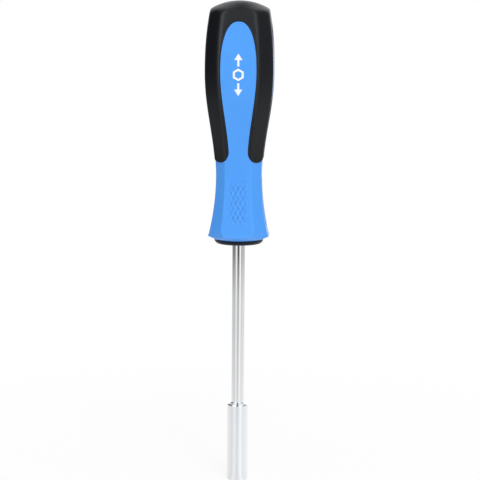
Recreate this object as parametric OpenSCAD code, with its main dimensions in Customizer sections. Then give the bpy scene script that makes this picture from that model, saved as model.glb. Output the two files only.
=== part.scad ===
// Bit holder screwdriver: a plain 1/4 inch hex bit sleeve on a round blade with a two-colour handle.
// Millimetres, +Z up. The sleeve's mouth lies at z = 0 on the Z axis, and the handle's dome is the top.
// The handle is square with broad 45 degree corners: four blue flats, four soft black fingers.

/* [Bit sleeve] */
// Outside diameter of the sleeve
sleeve_d = 10; // [9.4:0.1:12]
// Sleeve length from mouth to top
sleeve_len = 38.2; // [34:0.1:46]
// Chamfer at the sleeve's top
sleeve_top_chamfer = 1.2; // [0.4:0.1:1.6]
// Chamfer round the sleeve's mouth, outside
sleeve_mouth_chamfer = 0.5; // [0.2:0.1:0.8]
// Bit shank across its flats
hex_af = 6.35; // [6:0.05:6.6]
// Play of the bit shank in the socket, across flats
hex_play = 0.1; // [0.04:0.02:0.16]
// Socket depth from the mouth to the blade's end
socket_depth = 15; // [13:0.5:20]
// Lead-in of the socket at the mouth
lead_in = 0.7; // [0.3:0.1:1]

/* [Magnet and snap ring] */
// Magnet length
magnet_len = 3.5; // [2:0.1:5]
// Play of the magnet in the hexagon
magnet_play = 0.4; // [0.2:0.05:0.6]
// Wire diameter of the snap ring
ring_wire = 0.8; // [0.6:0.05:0.9]
// Height of the ring's groove above the mouth
ring_h = 5; // [3.5:0.1:7]
// How far the ring stands into the socket past the hexagon's corners
ring_grip = 0.4; // [0.2:0.05:0.5]
// Open angle of the ring
ring_gap_angle = 42; // [20:1:70]
// Play of the ring in its groove, all round
ring_play = 0.16; // [0.1:0.02:0.24]

/* [Blade] */
// Blade diameter
blade_d = 6; // [5:0.1:6.4]
// Blade length from its end in the sleeve to the handle
blade_free = 100; // [80:1:130]
// Blade length inside the handle
blade_buried = 74; // [60:1:85]
// Width across the pressed wings
wing_w = 9; // [7.5:0.1:10]
// Thickness of the pressed wings
wing_t = 2.4; // [1.6:0.1:3.2]
// Length of each pair of wings
wing_len = 9; // [6:0.5:12]
// Distance from one pair of wings to the next
wing_pitch = 16; // [13:0.5:20]
// Plain blade left beyond the last wings
wing_end = 5; // [3:0.5:8]

/* [Inner core] */
// Diameter of the core's front collar
collar_d = 23.3; // [20:0.1:25]
// Diameter of the collar's flat front face
collar_face_d = 17; // [14:0.1:19]
// Height of the collar
collar_t = 2.6; // [1.4:0.1:3]
// Diameter of the core inside the handle
core_d = 13; // [12:0.1:14]
// Core left beyond the blade's end
core_cap = 16; // [10:0.5:20]
// Distance across the core's drive ribs
rib_w = 17; // [15:0.1:18]
// Thickness of the drive ribs
rib_t = 3; // [2:0.1:4]
// Length of the drive ribs
rib_len = 36; // [24:1:40]
// Plain core left beyond the ribs
rib_end = 1; // [0.5:0.1:3]

/* [Handle] */
// Handle length from the collar to the dome's top
handle_len = 112.1; // [105:0.1:120]
// Across the flats at the flare
flare_w = 28.1; // [25:0.1:30]
// Height of the flare's edge over the collar
flare_h = 1.7; // [1.2:0.1:3]
// Across the flats at the neck
neck_w = 21.3; // [20:0.1:23]
// Height of the neck over the collar
neck_h = 30.4; // [27:0.1:33]
// Across the blue flats at the belly
belly_w = 32; // [29:0.1:34]
// Height of the belly over the collar
belly_h = 79.4; // [76:0.1:84]
// Across the blue flats just under the dome
crown_w = 27; // [25:0.1:29]
// Height under the dome where that width is taken
crown_h = 106.4; // [104:0.1:110]
// Width of a flat between its two edges at the belly
flat_w = 18.4; // [17:0.1:20]
// How much of each edge is rounded off at the belly
corner_cut = 0.26; // [0.1:0.02:0.4]
// Radius of the dome
dome_r = 26.5; // [22:0.5:28]
// Rounding where the dome meets the corners
crown_round = 6.2; // [5:0.1:9]

/* [Soft grip] */
// Thickness of the soft grip on the sides
grip_wall = 2.2; // [1.6:0.1:2.8]
// Extra thickness of the soft grip under the dome's top
grip_cap = 3; // [2:0.1:5]
// How far the soft grip stands proud of the blue flats
grip_proud = 0.35; // [0.1:0.05:0.6]
// Widest width of a blue window
window_w = 16.7; // [14:0.1:17.4]
// Height of the window's top over the collar
window_top_h = 102.2; // [99:0.1:104]
// Fullness of the window's top arch
window_bow = 2.3; // [2:0.05:3]
// Width of the blue strip between two fingers
strip_w = 8.5; // [7:0.1:10]
// Height of the narrowest place of that strip
strip_h = 41.9; // [41:0.1:46]
// Height of the fingers' lowest point
finger_h = 36.7; // [35:0.1:39]
// Fullness of the fingers' round ends
finger_bow = 2; // [1.6:0.05:3]

/* [Fits] */
// Gap left between pieces that are moulded or pressed together
seat_gap = 0.02; // [0.01:0.005:0.04]

/* [Hidden] */
$fn = 64;
// Steps along a long curve and along a short arc, and how far a cutter runs past a face.
sides = 18;
arc_steps = 14;
over = 1;
reach = 2 * belly_w;
collar_z = socket_depth + blade_free;
handle_z = collar_z + collar_t;
apex_z = handle_z + handle_len;
hex_r = (hex_af + hex_play) / 2 / cos(30);
magnet_d = hex_af + hex_play - magnet_play;
ring_in_r = hex_r - ring_grip;
ring_mid_r = ring_in_r + ring_wire / 2;
groove_r = ring_in_r + ring_wire + ring_play;
groove_h = ring_wire + 2 * ring_play;
blade_top_z = collar_z + blade_buried;
upper_wing_z = blade_top_z - wing_end - wing_len;
core_top_z = blade_top_z + core_cap;
rib_z = core_top_z - rib_end - rib_len;
flat_share = flat_w / belly_w;
flank_k = (1 + flat_share) / sqrt(2);
corner_k = sqrt(1 + flat_share * flat_share) - 2 * corner_cut / belly_w;
finger_mid = (1 + flat_share) / 2 * half_across(finger_h);
body_h = finger_h - 2 * grip_wall;

// An even blend from 0 to 1.
function blend(t) = t * t * (3 - 2 * t);

// Half the distance across the blue flats at a height over the collar.
function half_across(h) =
    h < neck_h ? neck_w / 2 + (flare_w - neck_w) / 2 * pow((neck_h - h) / (neck_h - flare_h), 2)
    : h < belly_h ? neck_w / 2 + (belly_w - neck_w) / 2 * blend((h - neck_h) / (belly_h - neck_h))
    : belly_w / 2 - (belly_w - crown_w) / 2 * pow((h - belly_h) / (crown_h - belly_h), 2);

// Half the width of a window's side between the fingers' ends and the belly.
function window_half(h) =
    strip_w / 2 + (window_w - strip_w) / 2 * blend((h - finger_h) / (belly_h - finger_h));

// A right-hand outline and its mirror image, as one ring of points.
function both_sides(right) =
    concat(right, [for (i = [len(right) - 1 : -1 : 0]) if (right[i][0] > 0) [-right[i][0], right[i][1]]]);

// Points of an arc about [cx, cy] from angle a to angle b, without its first point.
function arc(cx, cy, r, a, b) =
    [for (i = [1 : arc_steps]) let (t = a + (b - a) * i / arc_steps) [cx + r * cos(t), cy + r * sin(t)]];

// A quarter of an oval from [cx, cy + b] round to [cx + a, cy]; bow sets how full it is.
function quarter(cx, cy, a, b, bow) =
    [for (i = [0 : arc_steps]) let (t = 90 * i / arc_steps)
        [cx + a * pow(sin(t), 2 / bow), cy + b * pow(cos(t), 2 / bow)]];

// A flat outline in the plane of a handle's side, cut right through the handle.
module through(angle, points) {
    rotate([0, 0, angle]) rotate([90, 0, 0])
        linear_extrude(height = reach, center = true) polygon(points);
}

// One pair of opposite flats as a slab: grow moves them out, k is their distance factor.
module flats(angle, k, grow, from_h) {
    pitch = (handle_len - from_h) / sides;
    through(angle, both_sides([for (i = [0 : sides]) let (h = from_h + i * pitch)
        [k * (half_across(h) + grow), handle_z + h]]));
}

// The turned form that rounds the corners, bevels the front edge and makes the dome.
module turned(grow, drop, from_h) {
    round_r = crown_round + grow;
    cap_r = dome_r + grow;
    edge_r = corner_k * (half_across(window_top_h) + grow);
    cap_z = apex_z + grow - drop - cap_r;
    edge_z = cap_z + sqrt(pow(cap_r - round_r, 2) - pow(edge_r - round_r, 2));
    meet = atan2(edge_z - cap_z, edge_r - round_r);
    bevel = flare_h / (half_across(flare_h) - collar_d / 2);
    bevel_h = from_h > 0 ? from_h : (corner_k * half_across(2 * flare_h) - collar_d / 2) * bevel;
    pitch = (edge_z - handle_z - bevel_h) / sides;
    rotate_extrude() polygon(concat(
        [[0, handle_z + from_h]],
        from_h > 0 ? [] : [[collar_d / 2, handle_z]],
        [for (i = [0 : sides - 1]) let (h = bevel_h + i * pitch)
            [corner_k * (half_across(h) + grow), handle_z + h]],
        [[edge_r, edge_z]],
        arc(edge_r - round_r, edge_z, round_r, 0, meet),
        arc(0, cap_z, cap_r, meet, 90)));
}

// The eight-sided handle form.
module handle_form(grow, drop, from_h) {
    intersection() {
        flats(0, 1, grow, from_h);
        flats(90, 1, grow, from_h);
        flats(45, flank_k, grow, from_h);
        flats(135, flank_k, grow, from_h);
        turned(grow, drop, from_h);
    }
}

// What is blue on the outside: a window in each flat, and all below the fingers' ends. Over the core the
// dome's middle stays soft, so that it holds the fingers together however high the windows run.
module blue_field(grow) {
    finger_end = quarter(finger_mid + grow, handle_z + strip_h + grow,
        window_half(strip_h) - finger_mid, finger_h - strip_h, finger_bow);
    window_top = quarter(0, handle_z + belly_h,
        window_w / 2 + grow, window_top_h - belly_h + grow, window_bow);
    right = concat(
        [[reach / 2, handle_z - over], [reach / 2, handle_z + finger_h + grow]],
        finger_end,
        [for (i = [1 : sides - 1]) let (h = strip_h + (belly_h - strip_h) * i / sides)
            [window_half(h) + grow, handle_z + h]],
        [for (i = [arc_steps : -1 : 0]) window_top[i]]);
    bridge_w = core_d - 2 * grow;
    difference() {
        for (angle = [0, 90])
            through(angle, both_sides(right));
        translate([-bridge_w / 2, -bridge_w / 2, handle_z + belly_h])
            cube([bridge_w, bridge_w, handle_len]);
    }
}

// The core's outside inside the handle, with four drive ribs; grow widens it for the shell's hole.
module core_body(grow) {
    translate([0, 0, handle_z - over])
        cylinder(d = core_d + 2 * grow, h = core_top_z - handle_z + over + grow);
    for (angle = [45, 135])
        rotate([0, 0, angle]) translate([-rib_w / 2 - grow, -rib_t / 2 - grow, rib_z - grow])
            cube([rib_w + 2 * grow, rib_t + 2 * grow, rib_len + 2 * grow]);
}

// The blade's outside; grow widens it for the holes that it fills.
module blade_body(grow) {
    translate([0, 0, socket_depth - grow])
        cylinder(d = blade_d + 2 * grow, h = blade_free + blade_buried + 2 * grow);
    for (z = [upper_wing_z - wing_pitch, upper_wing_z])
        translate([-wing_w / 2 - grow, -wing_t / 2 - grow, z - grow])
            cube([wing_w + 2 * grow, wing_t + 2 * grow, wing_len + 2 * grow]);
}

// Hard black core, moulded round the blade; its collar shows at the handle's front.
module inner_core() {
    color("#1c1d1f") difference() {
        union() {
            rotate_extrude() polygon(concat(
                [[0, collar_z]],
                quarter(collar_face_d / 2, handle_z - seat_gap,
                    (collar_d - collar_face_d) / 2, seat_gap - collar_t, 2),
                [[0, handle_z - seat_gap]]));
            core_body(0);
        }
        blade_body(seat_gap);
    }
}

// Hard blue shell with the neck, the flare and the four windows.
module handle_shell() {
    color("#4f9df0") difference() {
        union() {
            intersection() {
                handle_form(0, 0, 0);
                blue_field(0);
            }
            handle_form(-grip_wall, grip_cap, body_h);
        }
        core_body(seat_gap);
    }
}

// Soft black grip: the dome and four fingers in one moulding.
module soft_grip() {
    color("#26272a") difference() {
        handle_form(grip_proud, grip_proud, finger_h - grip_wall);
        handle_form(seat_gap - grip_wall, grip_cap, body_h);
        blue_field(seat_gap);
    }
}

// Plated round blade with pressed wings that hold it in the core.
module blade_shaft() {
    color("#d4d7da") blade_body(0);
}

// Turned sleeve with the hex socket, the ring's groove and the seat of the blade.
module bit_sleeve() {
    r = sleeve_d / 2;
    color("#c9ccd0") difference() {
        rotate_extrude() polygon([
            [0, 0], [r - sleeve_mouth_chamfer, 0], [r, sleeve_mouth_chamfer],
            [r, sleeve_len - sleeve_top_chamfer], [r - sleeve_top_chamfer, sleeve_len], [0, sleeve_len]]);
        translate([0, 0, -over]) cylinder(r = hex_r, h = socket_depth + over, $fn = 6);
        translate([0, 0, -over])
            cylinder(r1 = hex_r + lead_in / 2 + over, r2 = hex_r - lead_in / 2, h = lead_in + over);
        translate([0, 0, ring_h - groove_h / 2]) cylinder(r = groove_r, h = groove_h);
        translate([0, 0, socket_depth - over]) cylinder(d = blade_d + 2 * seat_gap, h = sleeve_len);
    }
}

// Round magnet against the blade's end.
module magnet() {
    color("#b8bcc2") translate([0, 0, socket_depth - seat_gap - magnet_len])
        cylinder(d = magnet_d, h = magnet_len);
}

// Open spring ring that grips the bit's corners.
module snap_ring() {
    color("#8f9498") translate([0, 0, ring_h]) rotate([0, 0, ring_gap_angle / 2])
        rotate_extrude(angle = 360 - ring_gap_angle) translate([ring_mid_r, 0]) circle(d = ring_wire);
}

inner_core();
handle_shell();
soft_grip();
blade_shaft();
bit_sleeve();
magnet();
snap_ring();
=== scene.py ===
"""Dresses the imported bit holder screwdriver: piece meshes, finishes, floor, light and camera.

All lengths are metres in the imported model's own frame, with +Z from the sleeve's mouth to the dome.
Sizes that are read in millimetres are written times MM.
"""

from __future__ import annotations

import logging
import math
from collections.abc import Sequence
from dataclasses import dataclass
from enum import Enum
from typing import Any

import bmesh
import bpy
import numpy as np
from mathutils import Matrix, Vector


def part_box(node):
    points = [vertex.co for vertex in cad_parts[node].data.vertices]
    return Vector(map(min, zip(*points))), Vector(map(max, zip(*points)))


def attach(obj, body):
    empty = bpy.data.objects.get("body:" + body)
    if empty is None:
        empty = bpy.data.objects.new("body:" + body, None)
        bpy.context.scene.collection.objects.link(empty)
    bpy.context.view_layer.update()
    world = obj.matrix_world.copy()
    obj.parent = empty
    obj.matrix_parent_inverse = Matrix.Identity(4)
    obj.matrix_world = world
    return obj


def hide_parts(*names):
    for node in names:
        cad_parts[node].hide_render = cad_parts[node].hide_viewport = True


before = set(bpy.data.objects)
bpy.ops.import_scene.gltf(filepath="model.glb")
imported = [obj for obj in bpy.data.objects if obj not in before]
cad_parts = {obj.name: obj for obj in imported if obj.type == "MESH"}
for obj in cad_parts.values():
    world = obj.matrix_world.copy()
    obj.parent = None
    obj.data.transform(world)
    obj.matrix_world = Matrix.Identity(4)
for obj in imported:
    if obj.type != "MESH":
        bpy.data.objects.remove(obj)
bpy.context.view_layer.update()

MM = 0.001
IMAGE_SIDE = 480
EIGHTH = math.pi / 4
QUARTER = math.pi / 2
WELD = 0.0005 * MM
WHITE = "#FFFFFF"
Array = np.ndarray
Tree = bpy.types.NodeTree
Socket = bpy.types.NodeSocket
Colour = tuple[float, float, float, float]
Range = tuple[float, float]
Stops = Sequence[Range]
log = logging.getLogger("screwdriver")


class Body(Enum):
    """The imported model's bodies."""

    TOOL = "screwdriver"
    RING = "ring"


class Slot(Enum):
    """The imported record's material slots."""

    CORE = "core_black"
    SHELL = "shell_blue"
    GRIP = "grip_black"
    BLADE = "blade_chrome"
    SLEEVE = "sleeve_steel"
    MAGNET = "magnet_nickel"
    RING = "ring_steel"


def linear(colour: str) -> Colour:
    """Turns an sRGB hex colour into linear RGBA.

    Args:
        colour: Six hex digits after a hash sign.

    Returns:
        Red, green, blue and an alpha of one.
    """
    parts = [int(colour[i : i + 2], 16) / 255 for i in (1, 3, 5)]
    red, green, blue = [c / 12.92 if c <= 0.04045 else ((c + 0.055) / 1.055) ** 2.4 for c in parts]
    return red, green, blue, 1.0


def grey(level: float) -> Colour:
    """A grey of a linear brightness as RGBA."""
    return level, level, level, 1.0


def add_node(
    tree: Tree,
    kind: str,
    inputs: dict[str | int, Any] | None = None,
    stops: Stops = (),
    **settings: Any,
) -> bpy.types.Node:
    """Adds a node, sets its options and fills or links its sockets.

    Args:
        tree: The tree that gets the node.
        kind: The node's type name.
        inputs: A value or an output socket for each input, by name or number.
        stops: Places and greys of a ramp.
        settings: Options of the node itself.

    Returns:
        The new node.
    """
    node = tree.nodes.new(kind)
    for name, value in settings.items():
        setattr(node, name, value)
    for key, value in (inputs or {}).items():
        if isinstance(value, Socket):
            tree.links.new(value, node.inputs[key])
        else:
            node.inputs[key].default_value = value
    for _ in stops[2:]:
        node.color_ramp.elements.new(0.5)
    for i, (spot, level) in enumerate(stops):
        node.color_ramp.elements[i].position = spot
        node.color_ramp.elements[i].color = grey(level)
    return node


def blank_tree(owner: bpy.types.Material | bpy.types.World) -> Tree:
    """Turns an owner's nodes on and empties its tree."""
    owner.use_nodes = True
    owner.node_tree.nodes.clear()
    return owner.node_tree


def show(name: str, data: bpy.types.ID) -> bpy.types.Object:
    """Puts data into the scene as an object."""
    thing = bpy.data.objects.new(name, data)
    bpy.context.scene.collection.objects.link(thing)
    return thing


def way_to(azimuth: float, elevation: float) -> Vector:
    """The direction of a spot in the studio, by degrees from the front and degrees up."""
    a, e = math.radians(azimuth), math.radians(elevation)
    return Vector((math.sin(a) * math.cos(e), -math.cos(a) * math.cos(e), math.sin(e)))


def polar(radius: Array | float, theta: Array, z: Array | float) -> Array:
    """Points round the axis, by radius, angle from the front and height."""
    x = radius * np.sin(theta)
    return np.stack([x, -radius * np.cos(theta), z + 0 * x], axis=-1)


@dataclass(frozen=True)
class Finish:
    """A surface: its colour, the fine pattern that its making left, and faint clouds of a second colour.

    The pattern spreads the gloss and stands a little in relief. Its size and depth and the clouds' size are
    millimetres.
    """

    name: str
    colour: str
    roughness: float
    pattern: float = 0.5
    pattern_detail: float = 2.0
    pattern_range: Range = (0.3, 0.7)
    stretch: tuple[float, float, float] = (1.0, 1.0, 1.0)
    depth: float = 0.012
    relief: float = 0.5
    gloss_spread: float = 0.06
    least_roughness: float = 0.02
    clouds: float = 14.0
    cloud_detail: float = 3.0
    cloud_range: Range = (0.3, 0.7)
    cloud_colour: str = "#000000"
    cloud_share: float = 0.1

    def base(self) -> dict[str, float]:
        """Shader values that this kind of stuff has."""
        raise NotImplementedError

    def material(self) -> bpy.types.Material:
        """Makes the material on first use.

        Returns:
            The material of this finish.
        """
        known = bpy.data.materials.get(self.name)
        if known:
            return known
        material = bpy.data.materials.new(self.name)
        tree = blank_tree(material)
        plain = {"Base Color": linear(self.colour), "Roughness": self.roughness, **self.base()}
        shader = add_node(tree, "ShaderNodeBsdfPrincipled", plain)
        add_node(tree, "ShaderNodeOutputMaterial", {"Surface": shader.outputs["BSDF"]})
        spot = add_node(tree, "ShaderNodeTexCoord").outputs["Object"]
        along = add_node(tree, "ShaderNodeMapping", {"Vector": spot, "Scale": self.stretch}).outputs[0]
        fine = {"Vector": along, "Scale": 1 / (self.pattern * MM), "Detail": self.pattern_detail}
        pattern = add_node(tree, "ShaderNodeTexNoise", fine).outputs["Fac"]
        wide = {"Vector": spot, "Scale": 1 / (self.clouds * MM), "Detail": self.cloud_detail}
        clouds = add_node(tree, "ShaderNodeTexNoise", wide).outputs["Fac"]
        low, high = self.cloud_range
        cover = {"Value": clouds, 1: low, 2: high, 3: 0.0, 4: self.cloud_share}
        share = add_node(tree, "ShaderNodeMapRange", cover).outputs[0]
        colours = {0: share, 6: linear(self.colour), 7: linear(self.cloud_colour)}
        colour = add_node(tree, "ShaderNodeMix", colours, data_type="RGBA").outputs[2]
        low, high = self.pattern_range
        smooth = max(self.roughness - self.gloss_spread, self.least_roughness)
        spread = {"Value": pattern, 1: low, 2: high, 3: smooth, 4: self.roughness + self.gloss_spread}
        gloss = add_node(tree, "ShaderNodeMapRange", spread).outputs[0]
        heights = {"Height": pattern, "Strength": self.relief, "Distance": self.depth * MM}
        bump = add_node(tree, "ShaderNodeBump", heights).outputs["Normal"]
        for name, socket in (("Base Color", colour), ("Roughness", gloss), ("Normal", bump)):
            tree.links.new(socket, shader.inputs[name])
        return material


@dataclass(frozen=True)
class MouldedPlastic(Finish):
    """Plastic from a spark-eroded mould: a fine even grain and faint flow clouds."""

    specular: float = 0.5
    ior: float = 1.49

    def base(self) -> dict[str, float]:
        """A plastic's gloss. See Finish."""
        return {"IOR": self.ior, "Specular IOR Level": self.specular}


@dataclass(frozen=True)
class LinedMetal(Finish):
    """Metal with the fine lines of its last working, along the axis or round it, and uneven plating."""

    pattern: float = 0.4
    pattern_detail: float = 3.0
    depth: float = 0.002
    relief: float = 0.4
    gloss_spread: float = 0.04
    clouds: float = 9.0
    cloud_detail: float = 2.0
    cloud_range: Range = (0.35, 0.75)
    cloud_colour: str = "#9A9CA0"
    cloud_share: float = 0.12

    def base(self) -> dict[str, float]:
        """A bare metal. See Finish."""
        return {"Metallic": 1.0}


# Polypropylene, injection moulded: an even bright blue with a satin skin. The grain of the mould is
# about 0.1 mm; it is drawn at 0.5 mm so that it still shows.
SHELL_BLUE = MouldedPlastic(
    "polypropylene_blue_satin", "#4E9FF8", 0.34, specular=0.4, depth=0.006, gloss_spread=0.02,
    cloud_colour="#3A8BE6", cloud_share=0.14,
)
# The same plastic in the dishes: matt, and a darker blue that is painted shade in the hollows.
DISH_SHADE_BLUE = MouldedPlastic(
    "polypropylene_blue_matt_painted_shade", "#4697F0", 0.5, specular=0.3, depth=0.01, cloud_colour="#3F8EE8"
)
# The same plastic on the ridges: a little glossier, in a paler blue that is painted highlight on the
# crests.
RIDGE_HIGHLIGHT_BLUE = MouldedPlastic(
    "polypropylene_blue_painted_highlight", "#5AAAFC", 0.3, specular=0.5, depth=0.004, cloud_colour="#4B9BF6"
)
# Thermoplastic elastomer, overmoulded: a soft matt black whose fine grain scatters a weak grey sheen.
GRIP_BLACK = MouldedPlastic(
    "elastomer_black_matt", "#060A10", 0.38, specular=0.4, pattern=0.6, depth=0.03,
    cloud_colour="#0B0F16", cloud_share=0.5,
)
# Polypropylene, injection moulded in black: harder and a little glossier than the grip.
# Its blue tint is painted reflection of the blue shell above it.
CORE_BLACK = MouldedPlastic(
    "polypropylene_black_satin_painted_blue_reflection", "#0A142A", 0.36, specular=0.2, cloud_colour="#101828"
)
# Chrome plate on a ground and polished steel rod: a clear mirror with faint lines along the rod.
BLADE_CHROME = LinedMetal(
    "chrome_plate_polished", "#F5F6F8", 0.06, pattern=0.9, stretch=(1.0, 1.0, 0.03), depth=0.001,
    gloss_spread=0.03, cloud_colour="#DFE1E6",
)
# Nickel plate on turned steel: silky and pale, with the lathe's rings about 0.15 mm apart, drawn at
# 0.5 mm so that they still show.
SLEEVE_NICKEL = LinedMetal(
    "nickel_plate_turned_satin", "#F7FAFD", 0.13, pattern=0.5, stretch=(0.04, 0.04, 1.0),
    cloud_colour="#E6E6EC",
)
# Nickel plate on a sintered magnet: duller, a little warm, with a slightly orange-peeled skin.
MAGNET_NICKEL = LinedMetal("nickel_plate_magnet", "#BDBAB3", 0.28, pattern=0.5, depth=0.006)
# Hard drawn spring wire: grey, bright where it was drawn through the die.
RING_WIRE = LinedMetal("spring_wire_drawn", "#A2A5A8", 0.3, pattern=0.25, stretch=(1.0, 1.0, 3.0))
# Pad printing ink on the satin plastic: a flat white film, slightly uneven in cover.
PRINT_WHITE = MouldedPlastic(
    "pad_print_ink_white", "#F6F8FA", 0.5, pattern=0.4, depth=0.004, clouds=1.2,
    cloud_colour="#D5E4F6", cloud_share=0.35,
)


class Draft:
    """Points and faces of one piece while it is being built.

    Rows run up and columns run round to the right.
    """

    def __init__(self) -> None:
        """Starts with nothing."""
        self.points: list[tuple[float, ...]] = []
        self.faces: list[tuple[int, ...]] = []

    def grid(self, points: Array, flip: bool = False) -> None:
        """Adds a patch of four-sided faces.

        Args:
            points: Rows by columns by three coordinates.
            flip: Turns the faces round.
        """
        rows, columns = points.shape[:2]
        first = len(self.points)
        self.points.extend(map(tuple, points.reshape(-1, 3)))
        for row in range(rows - 1):
            for column in range(columns - 1):
                a = first + row * columns + column
                quad = (a, a + 1, a + columns + 1, a + columns)
                self.faces.append(quad[::-1] if flip else quad)

    def eighths(self, points: Array) -> None:
        """Adds a patch of the first eighth with its mirrored and turned copies.

        Args:
            points: Rows by columns by three coordinates.
        """
        mirrored = points * np.array([-1.0, 1.0, 1.0])
        for quarter in range(4):
            turn = np.array(Matrix.Rotation(quarter * QUARTER, 3, "Z")).T
            self.grid(points @ turn)
            self.grid(mirrored @ turn, flip=True)

    def rod(self, r: float, low: float, high: float, chamfer: float, columns: int) -> None:
        """Adds a round rod with broken edges.

        Args:
            r: Its radius.
            low: Its lower end.
            high: Its upper end.
            chamfer: How much its edges are broken.
            columns: Faces round the axis.
        """
        radius = np.array([0.0, r - chamfer, r, r, r - chamfer, 0.0])
        height = np.array([low, low, low + chamfer, high - chamfer, high, high])
        self.turned(np.repeat(radius[:, None], columns + 1, axis=1), height)

    def turned(self, radius: Array, height: Array) -> None:
        """Adds a surface round the axis whose radius may change with the angle.

        Args:
            radius: Rows by columns, the last column on the first.
            height: One for each row.
        """
        angle = np.linspace(0, 2 * math.pi, radius.shape[1])
        self.grid(polar(radius, angle, height[:, None]))

    def slab(self, outline: Array, back: Array) -> None:
        """Adds a closed plate from its front outline and its back outline.

        Args:
            outline: Corner points of the front face, anticlockwise from outside.
            back: The same corners on the back face.
        """
        first = len(self.points)
        count = len(outline)
        self.points.extend(map(tuple, outline))
        self.points.extend(map(tuple, back))
        self.faces.append(tuple(range(first, first + count)))
        self.faces.append(tuple(range(first + 2 * count - 1, first + count - 1, -1)))
        for i in range(count):
            j = (i + 1) % count
            self.faces.append((first + j, first + i, first + count + i, first + count + j))

    def mesh(self, name: str, sharp: float = 38.0) -> bpy.types.Mesh:
        """Merges the seams and makes the mesh.

        Args:
            name: The mesh's name.
            sharp: Edges that turn by more degrees than this stay sharp.

        Returns:
            A smooth-shaded mesh.
        """
        mesh = bpy.data.meshes.new(name)
        mesh.from_pydata(self.points, [], self.faces)
        work = bmesh.new()
        work.from_mesh(mesh)
        bmesh.ops.remove_doubles(work, verts=work.verts, dist=WELD)
        work.to_mesh(mesh)
        work.free()
        mesh.shade_smooth()
        mesh.set_sharp_from_angle(angle=math.radians(sharp))
        return mesh


def place(
    mesh: bpy.types.Mesh, finish: Finish, body: Body = Body.TOOL, replaced: str = ""
) -> None:
    """Puts a finished mesh on a body of the frame.

    Args:
        mesh: The piece's mesh, with its place in it.
        finish: Its surface.
        body: The body that carries it.
        replaced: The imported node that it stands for.
    """
    piece = show(mesh.name, mesh)
    mesh.materials.clear()
    mesh.materials.append(finish.material())
    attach(piece, body.value)
    if replaced:
        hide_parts(replaced)
    log.info("%s: %d faces on %s", piece.name, len(mesh.polygons), body.value)


def smooth_least(a: Array, b: Array, power: float) -> Array:
    """The smaller of two radii, with a rounding where they cross.

    Args:
        a: One radius.
        b: The other.
        power: How crisp the crossing is.

    Returns:
        A radius a little under the smaller one near the crossing.
    """
    low = np.minimum(a, b)
    high = np.maximum(a, b)
    return low * (1 + (low / high) ** power) ** (-1 / power)


def ease(t: Array) -> Array:
    """An even blend from 0 to 1, level on both sides."""
    t = np.clip(t, 0, 1)
    return t * t * (3 - 2 * t)


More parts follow.
